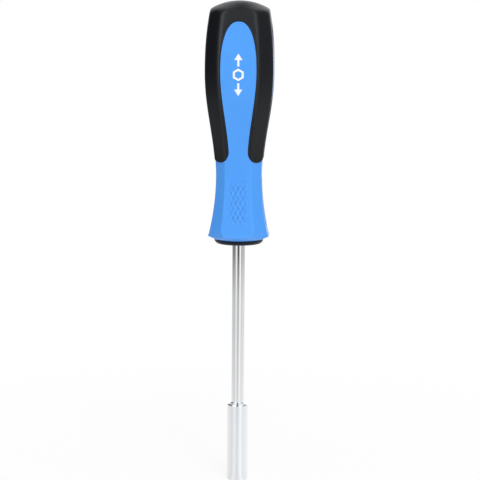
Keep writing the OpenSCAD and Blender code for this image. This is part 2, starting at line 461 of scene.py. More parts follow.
@dataclass(frozen=True)
class HandleForm:
    """The handle's outside: a square with broad 45 degree corners, a waist, a belly and a dome.

    Heights count from the handle's front face and angles from the middle of the front flat. The form
    repeats in eighths that mirror each other.
    """

    base_z: float
    length: float
    belly_half: float
    collar_r: float
    flare_half: float = 14.25 * MM
    flare_h: float = 1.4 * MM
    flare_bow: float = 2.0
    neck_half: float = 10.65 * MM
    neck_h: float = 30.4 * MM
    belly_h: float = 79.4 * MM
    crown_half: float = 13.75 * MM
    crown_h: float = 106.4 * MM
    flat_half: float = 9.2 * MM
    dome_r: float = 26.5 * MM
    crown_round: float = 6.2 * MM
    corner_cut: float = 0.26 * MM
    grip_wall: float = 2.2 * MM
    grip_cap: float = 3 * MM
    grip_proud: float = 0.35 * MM
    window_half: float = 8.35 * MM
    window_top_h: float = 102.2 * MM
    window_bow: float = 2.3
    strip_half: float = 4.25 * MM
    strip_h: float = 41.9 * MM
    finger_h: float = 36.7 * MM
    corner_power: float = 90.0
    grip_corner_power: float = 28.0
    crown_power: float = 60.0
    bevel_power: float = 60.0
    bevel_corner_power: float = 8.0
    tuck_h: float = 6.2 * MM
    tuck_share: float = 0.11
    tuck_bow: float = 2.2
    lip_h: float = 2.9 * MM
    lip_rise: float = 1.1 * MM
    lip_out: float = 0.31 * MM
    pad_h: float = 17.8 * MM
    pad_half: float = 4.7 * MM
    pad_half_len: float = 13 * MM
    pad_edge: float = 1.2 * MM
    pad_fade: float = 5 * MM
    pad_depth: float = 0.26 * MM
    edge_rows: tuple[int, int, int] = (21, 45, 37)
    halvings: int = 48

    def half_across(self, h: Array) -> Array:
        """Half the distance across the blue flats.

        Args:
            h: Heights over the front face.

        Returns:
            Half distances.
        """
        drop = np.maximum(self.neck_h - h, 0) / (self.neck_h - self.flare_h)
        low = self.neck_half + (self.flare_half - self.neck_half) * drop**self.flare_bow
        low = low + self.lip_out * ease((self.lip_h - h) / self.lip_rise)
        rise = ease((h - self.neck_h) / (self.belly_h - self.neck_h))
        middle = self.neck_half + (self.belly_half - self.neck_half) * rise
        past = (h - self.belly_h) / (self.crown_h - self.belly_h)
        high = self.belly_half - (self.belly_half - self.crown_half) * past**2
        return np.where(h < self.neck_h, low, np.where(h < self.belly_h, middle, high))

    def section(self, theta: Array, power: Array | float, tuck: Array | float = 0.0) -> Array:
        """Radius of the eight-sided section with rounded edges, for a half distance of one.

        Args:
            theta: Angles from the middle of a flat.
            power: How crisp its edges are.
            tuck: The share by which the corners' flanks are drawn in.

        Returns:
            Radii.
        """
        share = self.flat_half / self.belly_half
        flank = (1 + share) / math.sqrt(2) * (1 - tuck)
        across = np.abs(np.cos(theta))
        aside = np.abs(np.sin(theta))
        slants = (across + aside) / math.sqrt(2), np.abs(across - aside) / math.sqrt(2)
        terms = [across, aside, slants[0] / flank, slants[1] / flank]
        return sum(term**power for term in terms) ** (-1 / power)

    def dome(self, h: Array, grow: Array, drop: float) -> Array:
        """Radius of the turned dome and its crown rounding.

        Args:
            h: Heights over the front face.
            grow: How far out of the blue surface.
            drop: How far the dome's top is lowered.

        Returns:
            Radii, very large well below the dome.
        """
        share = self.flat_half / self.belly_half
        corner = math.sqrt(1 + share**2) - self.corner_cut / self.belly_half
        round_r = self.crown_round + grow
        cap_r = self.dome_r + grow
        edge_r = corner * (self.half_across(np.array(self.window_top_h)) + grow)
        cap_h = self.length + grow - drop - cap_r
        edge_h = cap_h + np.sqrt((cap_r - round_r) ** 2 - (edge_r - round_r) ** 2)
        meet_h = cap_h + cap_r * (edge_h - cap_h) / (cap_r - round_r)
        below = edge_r + np.maximum(edge_h - h, 0) ** 2 / self.crown_round
        crown = edge_r - round_r + np.sqrt(np.maximum(round_r**2 - (h - edge_h) ** 2, 0))
        cap = np.sqrt(np.maximum(cap_r**2 - (h - cap_h) ** 2, 0))
        return np.where(h < edge_h, below, np.where(h < meet_h, crown, cap))

    def points(self, theta: Array, h: Array, grow: Array | float = 0.0, drop: float = 0.0) -> Array:
        """Points on the handle's outside, or on a surface parallel to it.

        Args:
            theta: Angles from the middle of the front flat.
            h: Heights over the front face.
            grow: How far out of the blue surface.
            drop: How far the dome's top is lowered.

        Returns:
            An array with three coordinates in its last axis.
        """
        theta, h, grow = np.broadcast_arrays(theta, h, grow)
        soft = ease((h - self.neck_h) / (self.belly_h - self.neck_h))
        power = self.corner_power + (self.grip_corner_power - self.corner_power) * soft
        low = np.clip((self.tuck_h - h) / (self.tuck_h - self.flare_h), 0, 1)
        tuck = self.tuck_share * low**self.tuck_bow
        side = (self.half_across(h) + grow) * self.section(theta, power, tuck)
        flare = self.flare_half * self.section(theta, self.bevel_corner_power)
        bevel = self.collar_r + grow + h * (flare - self.collar_r) / self.flare_h
        side = smooth_least(side, bevel, self.bevel_power)
        radius = smooth_least(self.dome(h, grow, drop), side, self.crown_power)
        return polar(radius, theta, self.base_z + h)

    def pad_level(self, theta: Array, h: Array) -> Array:
        """How far the shell lies under its flats: shallow beds for the finger pads.

        Args:
            theta: Angles from the middle of the front flat.
            h: Heights over the front face.

        Returns:
            Levels, zero outside the beds.
        """
        aside = self.pad_half - np.abs(self.half_across(h) * np.tan(theta))
        along = self.pad_half_len - np.abs(h - self.pad_h)
        return -self.pad_depth * ease(aside / self.pad_edge) * ease(along / self.pad_fade)

    def angle_at(self, x: Array, h: Array) -> Array:
        """Angles of points on the blue surface at a distance from the flat's middle line.

        Args:
            x: Distances from the middle line.
            h: Heights over the front face.

        Returns:
            Angles within the first eighth.
        """
        low = np.zeros_like(x)
        high = np.full_like(x, EIGHTH)
        for _ in range(self.halvings):
            middle = (low + high) / 2
            inside = self.points(middle, h)[..., 0] < x
            low = np.where(inside, middle, low)
            high = np.where(inside, high, middle)
        return (low + high) / 2

    def colour_edge(self) -> tuple[Array, Array]:
        """The line where blue meets black in one eighth, from the finger's low end to the window's top.

        Returns:
            Angles and heights.
        """
        finger_rows, side_rows, arch_rows = self.edge_rows
        flat_share = self.flat_half / self.belly_half
        finger_mid = (1 + flat_share) / 2 * self.half_across(np.array(self.finger_h))
        turn = np.linspace(0, QUARTER, finger_rows)
        side_h = np.linspace(self.strip_h, self.belly_h, side_rows)[1:]
        reach = (np.append(self.strip_h, side_h) - self.finger_h) / (self.belly_h - self.finger_h)
        side_x = self.strip_half + (self.window_half - self.strip_half) * ease(reach)
        finger_x = finger_mid - (finger_mid - side_x[0]) * np.sin(turn)
        finger_h = self.strip_h - (self.strip_h - self.finger_h) * np.cos(turn)
        arch = np.linspace(0, QUARTER, arch_rows)[1:]
        arch_x = self.window_half * np.maximum(np.cos(arch), 0) ** (2 / self.window_bow)
        arch_h = (self.window_top_h - self.belly_h) * np.sin(arch) ** (2 / self.window_bow)
        x = np.concatenate([finger_x, side_x[1:], arch_x])
        h = np.concatenate([finger_h, side_h, self.belly_h + arch_h])
        theta = self.angle_at(x, h)
        theta[0] = EIGHTH
        theta[-1] = 0.0
        return theta, h

    def beside(self, theta: Array, h: Array, distance: float) -> tuple[Array, Array]:
        """The colour edge moved sideways on the surface, into the black.

        Args:
            theta: The edge's angles.
            h: The edge's heights.
            distance: How far it moves.

        Returns:
            Angles and heights.
        """
        step = 0.01 * MM
        edge = self.points(theta, h)
        round_way = self.points(theta + step, h) - edge
        up_way = self.points(theta, h + step) - edge
        outward = np.cross(round_way, up_way)
        sideways = np.cross(np.gradient(edge, axis=0), outward)
        sideways /= np.linalg.norm(sideways, axis=1, keepdims=True)
        moved = edge + distance * sideways
        new_theta = np.arctan2(moved[:, 0], -moved[:, 1])
        new_theta[0] = EIGHTH
        new_theta[-1] = 0.0
        new_h = moved[:, 2] - self.base_z
        new_h[0] = h[0] + distance
        new_h[-1] = h[-1] + distance
        return new_theta, new_h

    def dome_rows(self, first_h: float, top_h: float, rows: int) -> Array:
        """Heights of rows over the dome, evenly spread towards its middle.

        Args:
            first_h: The first row.
            top_h: The dome's top.
            rows: How many.

        Returns:
            Heights as a column.
        """
        left = np.linspace(1, 0, rows)[:, None]
        return top_h - (top_h - first_h) * left**2


def between(start: Array, end: Array | float, columns: int) -> Array:
    """Evenly spread columns from one value per row to another.

    Args:
        start: The first column.
        end: The last column.
        columns: How many.

    Returns:
        Rows by columns.
    """
    share = np.linspace(0, 1, columns)
    start = np.asarray(start)[:, None]
    end = np.asarray(end)[:, None] if np.ndim(end) else end
    return start + (end - start) * share


@dataclass
class InnerCore:
    """Hard black core moulded round the blade; its collar shows at the handle's front."""

    form: HandleForm
    blade_r: float
    collar_z: float
    top_z: float
    radius: float = 6.5 * MM
    face_r: float = 9.4 * MM
    face_rise: float = 0.3 * MM
    rib_half: float = 8.5 * MM
    rib_half_t: float = 1.5 * MM
    rib_len: float = 36 * MM
    rib_end: float = 1 * MM
    blade_end: float = 16 * MM
    seat: float = 0.02 * MM
    columns: int = 25
    face_rows: int = 13

    def outline(self, grow: float, ribbed: bool) -> Array:
        """Plan of the core in the first eighth, with half a drive rib at its end.

        Args:
            grow: How far outside the core.
            ribbed: Whether the rib shows.

        Returns:
            Points with a height of zero.
        """
        thick = self.rib_half_t + grow
        root = EIGHTH - math.asin(thick / (self.radius + grow))
        tip = EIGHTH - math.atan2(thick, self.rib_half + grow)
        theta = np.append(np.linspace(0, root, self.columns - 2), [tip, EIGHTH])
        radius = np.full(self.columns, self.radius + grow)
        if ribbed:
            radius[-2:] = (self.rib_half + grow) / np.cos(EIGHTH - theta[-2:])
        return polar(radius, theta, 0.0)

    def rows(self, grow: float) -> list[Array]:
        """The core's outside from the handle's front to its top, row by row.

        Args:
            grow: How far outside the core.

        Returns:
            Rows of points.
        """
        rib_top = self.top_z - self.rib_end + grow
        rib_low = self.top_z - self.rib_end - self.rib_len - grow
        up = np.array([0.0, 0.0, 1.0])
        plain = self.outline(grow, False)
        ribbed = self.outline(grow, True)
        steps = [(plain, self.form.base_z), (plain, rib_low), (ribbed, rib_low), (ribbed, rib_top)]
        steps += [(plain, rib_top), (plain, self.top_z + grow), (0 * plain, self.top_z + grow)]
        return [plan + z * up for plan, z in steps]

    def ring(self, radius: float, z: float) -> Array:
        """A round row of the first eighth."""
        return polar(radius, np.linspace(0, EIGHTH, self.columns), z)

    def build(self) -> None:
        """Builds the collar and the core as one moulding."""
        draft = Draft()
        bore = self.blade_r + self.seat
        under = self.form.base_z - self.seat
        face_z = self.collar_z + self.face_rise
        rows = [self.ring(0.0, self.top_z - self.blade_end + self.seat)]
        rows += [self.ring(bore, self.top_z - self.blade_end + self.seat), self.ring(bore, face_z)]
        for t in np.linspace(0, QUARTER, self.face_rows):
            radius = self.face_r + (self.form.collar_r - self.face_r) * math.sin(t)
            rows.append(self.ring(radius, under - (under - face_z) * math.cos(t)))
        rows.append(self.outline(0.0, False) + np.array([0.0, 0.0, under]))
        rows += self.rows(0.0)[1:]
        draft.eighths(np.stack(rows))
        place(draft.mesh("inner_core_moulding"), CORE_BLACK, replaced="inner_core")


@dataclass
class HandleShell:
    """Hard blue shell with the neck, the flare and a window in each flat."""

    form: HandleForm
    core: InnerCore
    seat: float = 0.02 * MM
    floor_columns: int = 9
    foot_h: float = 5 * MM
    foot_rows: int = 22
    neck_rows: int = 84
    dome_rows: int = 16

    def build(self) -> None:
        """Builds the shell with its hole for the core and the pocket that the grip fills."""
        form = self.form
        draft = Draft()
        wide = np.linspace(0, EIGHTH, self.core.columns)
        edge_theta, edge_h = form.colour_edge()
        low_h = np.linspace(0, self.foot_h, self.foot_rows)
        neck_h = np.linspace(self.foot_h, form.finger_h, self.neck_rows)[1:]
        h = np.concatenate([low_h, neck_h])[:, None]
        neck = form.points(wide[None, :], h, form.pad_level(wide[None, :], h))
        hole = np.stack(self.core.rows(self.seat)[::-1])
        draft.eighths(np.concatenate([hole, neck]))

        wall = form.grip_wall + self.seat
        cap = form.grip_cap + self.seat
        window = form.points(between(0 * edge_theta, edge_theta, self.core.columns), edge_h[:, None])
        step = form.points(edge_theta, edge_h, -wall / 2)[:, None]
        floor_theta = between(edge_theta, EIGHTH, self.floor_columns)
        floor = form.points(floor_theta, edge_h[:, None], -wall, cap)
        draft.eighths(np.concatenate([window, step, floor], axis=1))

        top_h = form.length - wall - cap
        rows = form.dome_rows(edge_h[-1], top_h, self.dome_rows)
        draft.eighths(form.points(floor_theta[-1][None, :], rows, -wall, cap))
        place(draft.mesh("handle_shell_moulding"), SHELL_BLUE, replaced="handle_shell")


@dataclass
class SoftGrip:
    """Soft black grip: the dome and four fingers in one moulding with rounded edges."""

    form: HandleForm
    edge_round: float = 0.6 * MM
    edge_sink: float = 0.1 * MM
    rim_steps: int = 6
    finger_columns: int = 15
    inner_columns: int = 9
    dome_rows: int = 34
    inner_rows: int = 16

    def build(self) -> None:
        """Builds the grip's outside, its rounded rim and its inner wall."""
        form = self.form
        proud = form.grip_proud
        wall, cap = form.grip_wall, form.grip_cap
        draft = Draft()
        edge_theta, edge_h = form.colour_edge()
        columns = [form.points(edge_theta, edge_h, -wall, cap)]
        for i in range(self.rim_steps + 1):
            turn = QUARTER * i / self.rim_steps
            level = -self.edge_sink + (proud + self.edge_sink) * math.sin(turn)
            theta, h = edge_theta, edge_h
            if i:
                theta, h = form.beside(edge_theta, edge_h, self.edge_round * (1 - math.cos(turn)))
            columns.append(form.points(theta, h, level, proud))
        finger_theta = between(theta, EIGHTH, self.finger_columns)
        finger = form.points(finger_theta, h[:, None], proud, proud)
        draft.eighths(np.concatenate([np.stack(columns, axis=1), finger[:, 1:]], axis=1))
        dome_h = form.dome_rows(h[-1], form.length, self.dome_rows)
        draft.eighths(form.points(finger_theta[-1][None, :], dome_h, proud, proud))

        inner_theta = between(edge_theta, EIGHTH, self.inner_columns)
        draft.eighths(form.points(inner_theta, edge_h[:, None], -wall, cap)[::-1])
        inner_h = form.dome_rows(edge_h[-1], form.length - wall - cap, self.inner_rows)
        draft.eighths(form.points(inner_theta[-1][None, :], inner_h, -wall, cap)[::-1])
        place(draft.mesh("soft_grip_moulding"), GRIP_BLACK, replaced="soft_grip")


@dataclass
class DiamondPads:
    """Diamond ridges in the beds of the neck's four flats, for the finger tips."""

    form: HandleForm
    cell_width: float = 2.3 * MM
    cell_height: float = 4.6 * MM
    columns: int = 4
    rows: int = 5
    crest: float = 0.03 * MM
    crest_share: float = 0.8
    floor_rise: float = 0.02 * MM
    floor_share: float = 0.66
    root: float = 0.3 * MM
    corners: int = 4
    sharp: float = 20.0

    def cell(self) -> bpy.types.Mesh:
        """One diamond of unit size: a ridge all round a dish, with its root in the shell.

        Its faces run from the root up, as many to a ring as it has corners.

        Returns:
            The cell's mesh.
        """
        draft = Draft()
        floor = self.floor_rise - self.form.pad_depth
        root = floor - self.root
        steps = [(0.0, root), (1.0, root), (1.0, self.crest), (self.crest_share, self.crest)]
        steps += [(self.floor_share, floor), (0.0, floor)]
        corner = np.array([[0.5, 0.0], [0.0, 0.5], [-0.5, 0.0], [0.0, -0.5], [0.5, 0.0]])
        rows = [np.column_stack([share * corner, np.full(len(corner), level)]) for share, level in steps]
        draft.grid(np.stack(rows))
        return draft.mesh("diamond_cell", self.sharp)

    def inputs(self) -> dict[str, float]:
        """The numbers that the tree is given.

        Returns:
            A value for each named input.
        """
        form = self.form
        return {
            "Columns": self.columns,
            "Rows": self.rows,
            "Cell Width": self.cell_width,
            "Cell Height": self.cell_height,
            "Pad Height": form.pad_h,
            "Neck Height": form.neck_h,
            "Flare Height": form.flare_h,
            "Neck Half": form.neck_half,
            "Flare Half": form.flare_half,
            "Flare Bow": form.flare_bow,
            "Base Height": form.base_z,
        }

    def tree(self) -> Tree:
        """Geometry nodes that lay the cell out in two staggered grids and bend them onto the neck's flats.

        Returns:
            The node tree.
        """
        tree = bpy.data.node_groups.new("diamond_pads", "GeometryNodeTree")
        kinds = {"Cell": "Geometry"}
        for name, value in self.inputs().items():
            kinds[name] = "Int" if isinstance(value, int) else "Float"
        kinds["Finish"] = "Material"
        for name, kind in kinds.items():
            tree.interface.new_socket(name, in_out="INPUT", socket_type=f"NodeSocket{kind}")
        tree.interface.new_socket("Pads", in_out="OUTPUT", socket_type="NodeSocketGeometry")
        given = add_node(tree, "NodeGroupInput").outputs

        spots = add_node(tree, "GeometryNodeJoinGeometry")
        for fewer in (0, 1):
            counts, sizes = [], []
            for number, pitch in (("Columns", "Cell Width"), ("Rows", "Cell Height")):
                less = {0: given[number], 1: fewer}
                count = add_node(tree, "ShaderNodeMath", less, operation="SUBTRACT").outputs[0]
                gaps = add_node(tree, "ShaderNodeMath", {0: count, 1: 1}, operation="SUBTRACT").outputs[0]
                across = {0: gaps, 1: given[pitch]}
                sizes.append(add_node(tree, "ShaderNodeMath", across, operation="MULTIPLY").outputs[0])
                counts.append(count)
            grid = add_node(tree, "GeometryNodeMeshGrid", dict(enumerate(sizes + counts)))
            tree.links.new(grid.outputs["Mesh"], spots.inputs[0])
        pitches = {0: given["Cell Width"], 1: given["Cell Height"], 2: 1.0}
        size = add_node(tree, "ShaderNodeCombineXYZ", pitches)
        cells = add_node(
            tree,
            "GeometryNodeInstanceOnPoints",
            {"Points": spots.outputs[0], "Instance": given["Cell"], "Scale": size.outputs[0]},
        )
        sheet = add_node(tree, "GeometryNodeRealizeInstances", {0: cells.outputs[0]}).outputs[0]

        spot = add_node(tree, "GeometryNodeInputPosition").outputs[0]
        known = {name: given[name] for name in kinds}
        known["x"], known["y"], known["level"] = add_node(tree, "ShaderNodeSeparateXYZ", {0: spot}).outputs
        for name, operation, *terms in (
            ("h", "ADD", "y", "Pad Height"),
            ("down", "SUBTRACT", "Neck Height", "h"),
            ("span", "SUBTRACT", "Neck Height", "Flare Height"),
            ("share", "DIVIDE", "down", "span"),
            ("bow", "POWER", "share", "Flare Bow"),
            ("flare", "SUBTRACT", "Flare Half", "Neck Half"),
            ("swell", "MULTIPLY_ADD", "bow", "flare", "Neck Half"),
            ("out", "ADD", "swell", "level"),
            ("back", "MULTIPLY", "out", -1.0),
            ("z", "ADD", "h", "Base Height"),
        ):
            values = {i: known.get(term, term) for i, term in enumerate(terms)}
            known[name] = add_node(tree, "ShaderNodeMath", values, operation=operation).outputs[0]
        bent = add_node(tree, "ShaderNodeCombineXYZ", {0: known["x"], 1: known["back"], 2: known["z"]})
        moved = {"Geometry": sheet, "Position": bent.outputs[0]}
        pad = add_node(tree, "GeometryNodeSetPosition", moved)

        sides = add_node(tree, "GeometryNodeMeshLine", {"Count": 4, "Offset": (0.0, 0.0, 0.0)})
        index = add_node(tree, "GeometryNodeInputIndex").outputs[0]
        angle = add_node(tree, "ShaderNodeMath", {0: index, 1: QUARTER}, operation="MULTIPLY").outputs[0]
        turn = add_node(tree, "ShaderNodeCombineXYZ", {2: angle})
        pads = add_node(
            tree,
            "GeometryNodeInstanceOnPoints",
            {"Points": sides.outputs[0], "Instance": pad.outputs[0], "Rotation": turn.outputs[0]},
        )
        real = add_node(tree, "GeometryNodeRealizeInstances", {0: pads.outputs[0]}).outputs[0]
        dressed = add_node(tree, "GeometryNodeSetMaterial", {"Geometry": real, "Material": given["Finish"]})
        add_node(tree, "NodeGroupOutput", {0: dressed.outputs[0]})
        return tree

    def build(self) -> None:
        """Runs the tree and keeps its result as a plain mesh."""
        seed = show("diamond_seed", self.cell())
        tree = self.tree()
        values = {**self.inputs(), "Finish": SHELL_BLUE.material()}
        modifier = seed.modifiers.new("pads", "NODES")
        modifier.node_group = tree
        for socket in tree.interface.items_tree:
            if socket.in_out == "INPUT" and socket.name in values:
                modifier[socket.identifier] = values[socket.name]
        made = seed.evaluated_get(bpy.context.evaluated_depsgraph_get())
        mesh = bpy.data.meshes.new_from_object(made)
        mesh.name = "diamond_pads"
        faces = len(seed.data.polygons)
        bpy.data.objects.remove(seed)
        place(mesh, SHELL_BLUE)
        # The ridge crests get a paler blue: painted highlight.
        mesh.materials.append(RIDGE_HIGHLIGHT_BLUE.material())
        # The dish walls and floors get a darker blue: painted shade in the hollows.
        mesh.materials.append(DISH_SHADE_BLUE.material())
        ring = np.arange(len(mesh.polygons)) % faces // self.corners
        mesh.polygons.foreach_set("material_index", np.clip(ring - 1, 0, 2).astype(np.int32))


@dataclass
class PrintedMark:
    """A plain pictogram printed on the front window: a hexagon between the arrows of a length."""

    form: HandleForm
    middle_h: float = 77.9 * MM
    length: float = 19.5 * MM
    hexagon_r: float = 2.9 * MM
    stroke: float = 0.95 * MM
    head: float = 3 * MM
    head_half: float = 1.9 * MM
    lift: float = 0.03 * MM
    root: float = 0.1 * MM

    def arrow(self) -> list[Range]:
        """Outline of the upper arrow.

        Returns:
            Corners as x and height over the mark's middle, anticlockwise.
        """
        half = self.stroke / 2
        tip = self.length / 2
        neck = tip - self.head
        start = self.hexagon_r + self.stroke
        right = [(half, start), (half, neck), (self.head_half, neck)]
        return [*right, (0.0, tip), *[(-x, h) for x, h in reversed(right)]]

    def laid(self, outline: Stops, level: float) -> Array:
        """Puts an outline on the window.

        Args:
            outline: Corners as x and height over the mark's middle.
            level: How far over the window.

        Returns:
            Points.
        """
        x, h = np.array(outline).T
        h = h + self.middle_h
        return np.stack([x, -(self.form.half_across(h) + level), self.form.base_z + h], axis=-1)

    def build(self) -> None:
        """Lays the ink film on the window."""
        draft = Draft()
        arrow = self.arrow()
        for outline in (arrow, [(-x, -h) for x, h in arrow]):
            draft.slab(self.laid(outline, self.lift), self.laid(outline, -self.root))
        turns = [math.radians(60 * k + 30) for k in range(7)]
        inner_r = self.hexagon_r - self.stroke / math.cos(math.radians(30))
        radii = self.hexagon_r, inner_r
        outer, inner = [[(r * math.cos(t), r * math.sin(t)) for t in turns] for r in radii]
        rows = [(outer, self.lift), (inner, self.lift), (inner, -self.root), (outer, -self.root)]
        draft.grid(np.stack([self.laid(*row) for row in [*rows, rows[0]]]))
        place(draft.mesh("printed_mark"), PRINT_WHITE)


@dataclass
class Blade:
    """Round chrome-plated blade with two pairs of pressed wings inside the core."""

    low: Vector
    high: Vector
    radius: float
    wing_half: float = 4.5 * MM
    wing_half_t: float = 1.2 * MM
    wing_len: float = 9 * MM
    wing_pitch: float = 16 * MM
    wing_end: float = 5 * MM
    chamfer: float = 0.3 * MM
    columns: int = 128

    def build(self) -> None:
        """Turns the rod and presses the wings."""
        draft = Draft()
        high = self.high.z
        draft.rod(self.radius, self.low.z, high, self.chamfer, self.columns)
        for top in (high - self.wing_end, high - self.wing_end - self.wing_pitch):
            x, y = self.wing_half, self.wing_half_t
            ends = [(-x, top - self.wing_len), (x, top - self.wing_len), (x, top), (-x, top)]
            front, back = [np.array([(px, py, pz) for px, pz in ends]) for py in (-y, y)]
            draft.slab(front, back)
        place(draft.mesh("blade_rod"), BLADE_CHROME, replaced="blade_shaft")


@dataclass
class BitSleeve:
    """Turned sleeve with the hex socket, the ring's groove and the seat of the blade."""

    radius: float
    length: float
    blade_r: float
    top_chamfer: float = 1.2 * MM
    shoulder: float = 0.6 * MM
    lip_r: float = 3.8 * MM
    lip_chamfer: float = 0.5 * MM
    mouth_chamfer: float = 0.5 * MM
    edge_guard: float = 0.4 * MM
    edge_round: float = 0.12 * MM
    hex_half: float = 3.225 * MM
    socket_depth: float = 15 * MM
    lead_in: float = 0.7 * MM
    groove_mid: float = 5 * MM
    groove_h: float = 1.12 * MM
    groove_r: float = 4.284 * MM
    seat: float = 0.02 * MM
    columns: int = 144
    lead_rows: int = 9
    sharp: float = 30.0

    def hexagon(self, grow: float = 0.0) -> Array:
        """Radius of the socket's hexagon round the axis."""
        angle = np.linspace(0, 2 * math.pi, self.columns + 1)
        sixth = math.pi / 3
        return (self.hex_half + grow) / np.cos((angle + sixth / 2) % sixth - sixth / 2)

    def rounded(self, corners: Stops) -> list[Range]:
        """Breaks the inner corners of an outline with small roundings.

        Args:
            corners: Radius and height of each corner; the first and last stay.

        Returns:
            The outline with three points for each broken corner.
        """
        outline = [corners[0]]
        for before, corner, after in zip(corners, corners[1:], corners[2:]):
            here = Vector(corner)
            before, after = [(Vector(o) - here).normalized() * self.edge_round for o in (before, after)]
            outline += [tuple(here + way) for way in (before, (before + after) / 4, after)]
        return outline + [corners[-1]]

    def build(self) -> None:
        """Turns the outside and broaches the socket."""
        draft = Draft()
        r, bore = self.radius, self.blade_r + self.seat
        hexagon = self.hexagon()
        corner_r = float(hexagon.max())
        mouth_r = corner_r + self.lead_in / 2
        wall_low = self.mouth_chamfer + self.edge_guard
        wall_top = self.length - self.top_chamfer - self.edge_guard
        step_z = self.length - self.shoulder
        foot = self.mouth_chamfer
        mouth = self.rounded([(mouth_r, 0.0), (r - foot, 0.0), (r, foot), (r, wall_low)])
        top = self.rounded(
            [
                (r, wall_top),
                (r, self.length - self.top_chamfer),
                (r - self.top_chamfer + self.shoulder, step_z),
                (self.lip_r, step_z),
                (self.lip_r - self.lip_chamfer, self.length),
                (bore, self.length),
            ]
        )
        round_rows = mouth + top + [(bore, self.socket_depth)]
        rows = [np.full(self.columns + 1, radius) for radius, _ in round_rows]
        heights = [height for _, height in round_rows]
        groove = np.full(self.columns + 1, self.groove_r)
        groove_top = self.groove_mid + self.groove_h / 2
        groove_low = self.groove_mid - self.groove_h / 2
        rows += [hexagon, hexagon, groove, groove, hexagon]
        heights += [self.socket_depth, groove_top, groove_top, groove_low, groove_low]
        for share in np.linspace(1, 0, self.lead_rows):
            rows.append(np.maximum(hexagon, mouth_r - share * self.lead_in))
            heights.append(share * self.lead_in)
        draft.turned(np.stack(rows), np.array(heights))
        mesh = draft.mesh("bit_sleeve_turned", self.sharp)
        place(mesh, SLEEVE_NICKEL, replaced="bit_sleeve")


@dataclass
class SocketFittings:
    """What holds the bit: the magnet at the socket's bottom and the open snap ring in its groove."""

    magnet_low: Vector
    magnet_high: Vector
    ring_low: Vector
    ring_high: Vector
    ring_gap: float = math.radians(42)
    ring_steps: int = 73
    wire_columns: int = 17
    end_share: float = 0.4
    magnet_chamfer: float = 0.25 * MM
    magnet_columns: int = 64

    def build(self) -> None:
        """Builds the magnet and the ring."""
        draft = Draft()
        low, high = self.magnet_low.z, self.magnet_high.z
        draft.rod(self.magnet_high.x, low, high, self.magnet_chamfer, self.magnet_columns)
        place(draft.mesh("magnet_plated"), MAGNET_NICKEL, replaced="magnet")

        draft = Draft()
        wire_r = (self.ring_high.z - self.ring_low.z) / 2
        middle_r = -self.ring_low.x - wire_r
        middle_z = (self.ring_high.z + self.ring_low.z) / 2
        end = wire_r * self.end_share
        tuck = end / middle_r
        first, last = self.ring_gap / 2, 2 * math.pi - self.ring_gap / 2
        along = np.linspace(first, last, self.ring_steps)[1:-1]
        turns = np.array([first, first, first + tuck, *along, last - tuck, last, last])
        thick = np.full((len(turns), 1), wire_r)
        thick[[0, -1]] = 0.0
        thick[[1, -2]] = wire_r - end
        around = np.linspace(0, 2 * math.pi, self.wire_columns)
        radius = middle_r + thick * np.cos(around)
        height = middle_z + thick * np.sin(around)
        draft.grid(polar(radius, turns[:, None] + QUARTER, height), flip=True)
        place(draft.mesh("snap_ring_wire"), RING_WIRE, Body.RING, "snap_ring")


@dataclass(frozen=True)
class Panel:
    """A soft lamp that faces the tool."""

    name: str
    azimuth: float
    elevation: float
    distance: float
    size: float
    power: float
    mirrored: bool = True

    def build(self, aim: Vector) -> None:
        """Hangs the lamp.

        Args:
            aim: The point that it faces.
        """
        lamp = bpy.data.lights.new(self.name, "AREA")
        lamp.shape = "DISK"
        lamp.size = self.size
        lamp.energy = self.power
        holder = show(self.name, lamp)
        holder.visible_glossy = self.mirrored
        back = way_to(self.azimuth, self.elevation)
        holder.location = aim + self.distance * back
        holder.rotation_mode = "QUATERNION"
        holder.rotation_quaternion = (-back).to_track_quat("-Z", "Y")


